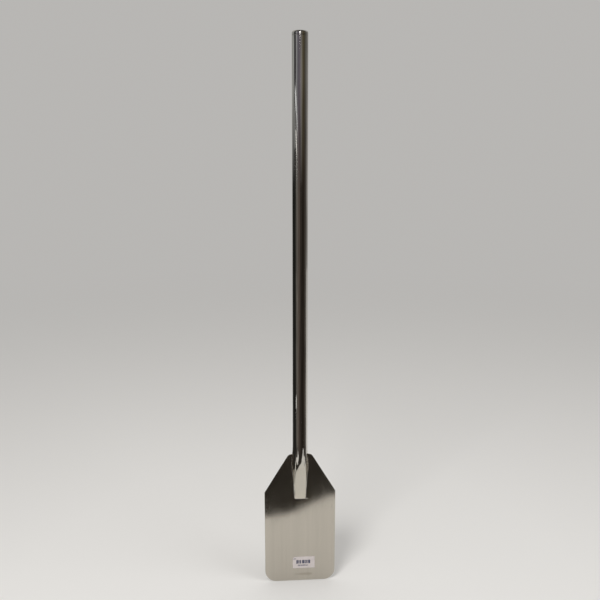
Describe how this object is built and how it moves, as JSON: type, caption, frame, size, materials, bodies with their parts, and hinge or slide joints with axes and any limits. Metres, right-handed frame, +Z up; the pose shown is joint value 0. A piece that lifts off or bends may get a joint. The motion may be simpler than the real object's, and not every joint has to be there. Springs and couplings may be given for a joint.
{
  "type": "mixing paddle",
  "caption": "Long round-tube handle with a closed end, flattened over and welded to a flat blade with sloping shoulders and rounded tip corners.",
  "frame": {"origin": "middle of the blade's tip edge, on the handle's axis; the tip is the bottom of the paddle", "axes": "+Z up the handle's axis, +X across the blade, +Y out of the back of the blade; the labelled front faces -Y"},
  "size_m": [0.1216, 0.025, 0.9144],
  "materials": {
    "mirror_steel": "mirror-polished stainless steel",
    "satin_steel": "stainless sheet polished to a soft, blurred reflection",
    "weld_steel": "dressed and polished stainless weld metal",
    "label_paper": "matt white paper with a dark printed block"
  },
  "bodies": {
    "root": {"blade": "satin_steel", "handle_tube": "mirror_steel", "end_cap": "mirror_steel", "cap_weld": "mirror_steel", "weld_front_left": "weld_steel", "weld_front_right": "weld_steel", "weld_front_toe": "weld_steel", "weld_back_left": "weld_steel", "weld_back_right": "weld_steel", "weld_back_toe": "weld_steel", "price_label": "label_paper"}
  },
  "joints": []
}
